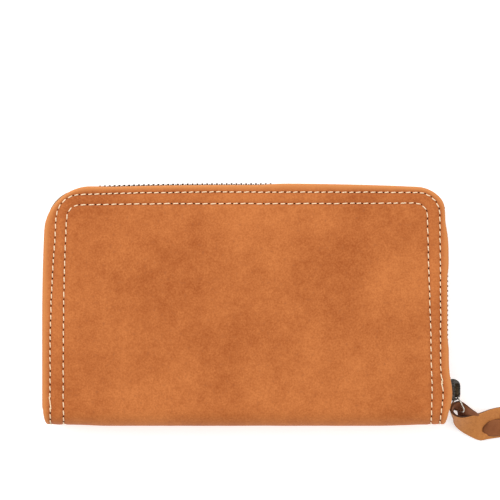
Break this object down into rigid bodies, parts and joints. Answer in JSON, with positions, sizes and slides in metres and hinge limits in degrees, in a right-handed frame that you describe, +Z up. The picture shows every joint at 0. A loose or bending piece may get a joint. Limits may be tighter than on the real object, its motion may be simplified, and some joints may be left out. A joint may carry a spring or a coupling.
{
  "type": "zip around wallet",
  "caption": "Padded leather wallet closed on three sides by a metal zip, with a wire link and strap pull, card slots and a zipped coin pocket.",
  "frame": {"origin": "middle of the back cover's flat underside, on the surface that the wallet lies on", "axes": "+X along the length to the slider's side, +Y across the width from the spine to the long zipped edge, +Z up through the thickness"},
  "size_m": [0.2516, 0.1199, 0.025],
  "materials": {
    "cover_leather": "mottled pull-up leather, tan",
    "strap_leather": "tan grain outside, raw brown flesh side",
    "card_leather": "thin smooth leather",
    "board": "matt",
    "padding": "soft felt",
    "lining": "fine woven twill",
    "zip_tape": "woven polyester",
    "zip_metal": "dark antique plating",
    "zip_coil": "satin nylon",
    "ring_wire": "polished wire"
  },
  "bodies": {
    "back_cover": {"cover_leather_back": "cover_leather", "cover_board_back": "board", "cover_pad_back": "padding", "cover_lining_back": "lining", "card_panel_back": "card_leather", "card_slot_1_back": "card_leather", "card_slot_2_back": "card_leather", "card_slot_3_back": "card_leather", "card_slot_4_back": "card_leather", "zip_tape_back": "zip_tape", "zip_teeth_back": "zip_metal", "zip_stops_back": "zip_metal", "gusset_right_back": "card_leather", "gusset_left_back": "card_leather"},
    "front_cover": {"cover_leather_front": "cover_leather", "cover_board_front": "board", "cover_pad_front": "padding", "cover_lining_front": "lining", "card_panel_front": "card_leather", "card_slot_1_front": "card_leather", "card_slot_2_front": "card_leather", "card_slot_3_front": "card_leather", "card_slot_4_front": "card_leather", "zip_tape_front": "zip_tape", "zip_teeth_front": "zip_metal", "zip_stops_front": "zip_metal", "gusset_right_front": "card_leather", "gusset_left_front": "card_leather"},
    "coin_pocket": {"coin_wall_back": "lining", "coin_wall_front": "lining", "coin_gusset": "lining", "coin_zip_tape_back": "zip_tape", "coin_zip_tape_front": "zip_tape", "coin_zip_coil_back": "zip_coil", "coin_zip_coil_front": "zip_coil", "coin_zip_stops": "zip_metal"},
    "coin_slider": {"coin_zip_slider": "zip_metal"},
    "coin_pull": {"coin_zip_pull": "zip_metal"},
    "zip_slider": {"zip_slider": "zip_metal"},
    "pull_ring": {"pull_ring": "ring_wire"},
    "pull_strap": {"pull_strap": "strap_leather"}
  },
  "joints": [
    {"name": "cover_fold", "type": "hinge", "parent": "back_cover", "child": "front_cover", "pos_m": [0, -0.056, 0.0125], "axis": [1, 0, 0], "range_deg": [0, 70], "deforming": ["gusset_right_front", "gusset_left_front"]},
    {"name": "coin_pocket_fan", "type": "hinge", "parent": "back_cover", "child": "coin_pocket", "pos_m": [0, -0.056, 0.0125], "axis": [1, 0, 0], "range_deg": [0, 35], "deforming": ["gusset_right_back", "gusset_left_back"]},
    {"name": "zip_slider_run", "type": "slide", "parent": "back_cover", "child": "zip_slider", "axis": [0, 1, 0], "range_m": [0, 0.07], "deforming": ["zip_teeth_back", "zip_teeth_front"]},
    {"name": "pull_ring_swing", "type": "hinge", "parent": "zip_slider", "child": "pull_ring", "pos_m": [0.09988, -0.04355, 0.0125], "axis": [0, 0, 1], "range_deg": [0, 85]},
    {"name": "pull_strap_swing", "type": "hinge", "parent": "pull_ring", "child": "pull_strap", "pos_m": [0.1004, -0.05025, 0.01144], "axis": [0.5091, -0.0958, 0.8554], "range_deg": [-60, 15]},
    {"name": "coin_slider_run", "type": "slide", "parent": "coin_pocket", "child": "coin_slider", "axis": [1, 0, 0], "range_m": [-0.138, 0]},
    {"name": "coin_pull_swing", "type": "hinge", "parent": "coin_slider", "child": "coin_pull", "pos_m": [0.07, 0.0316, 0.0125], "axis": [0, 0, 1], "range_deg": [-150, 0]}
  ],
  "couplings": [
    {"joint": "coin_pocket_fan", "follows": "cover_fold", "ratio": 0.5}
  ]
}
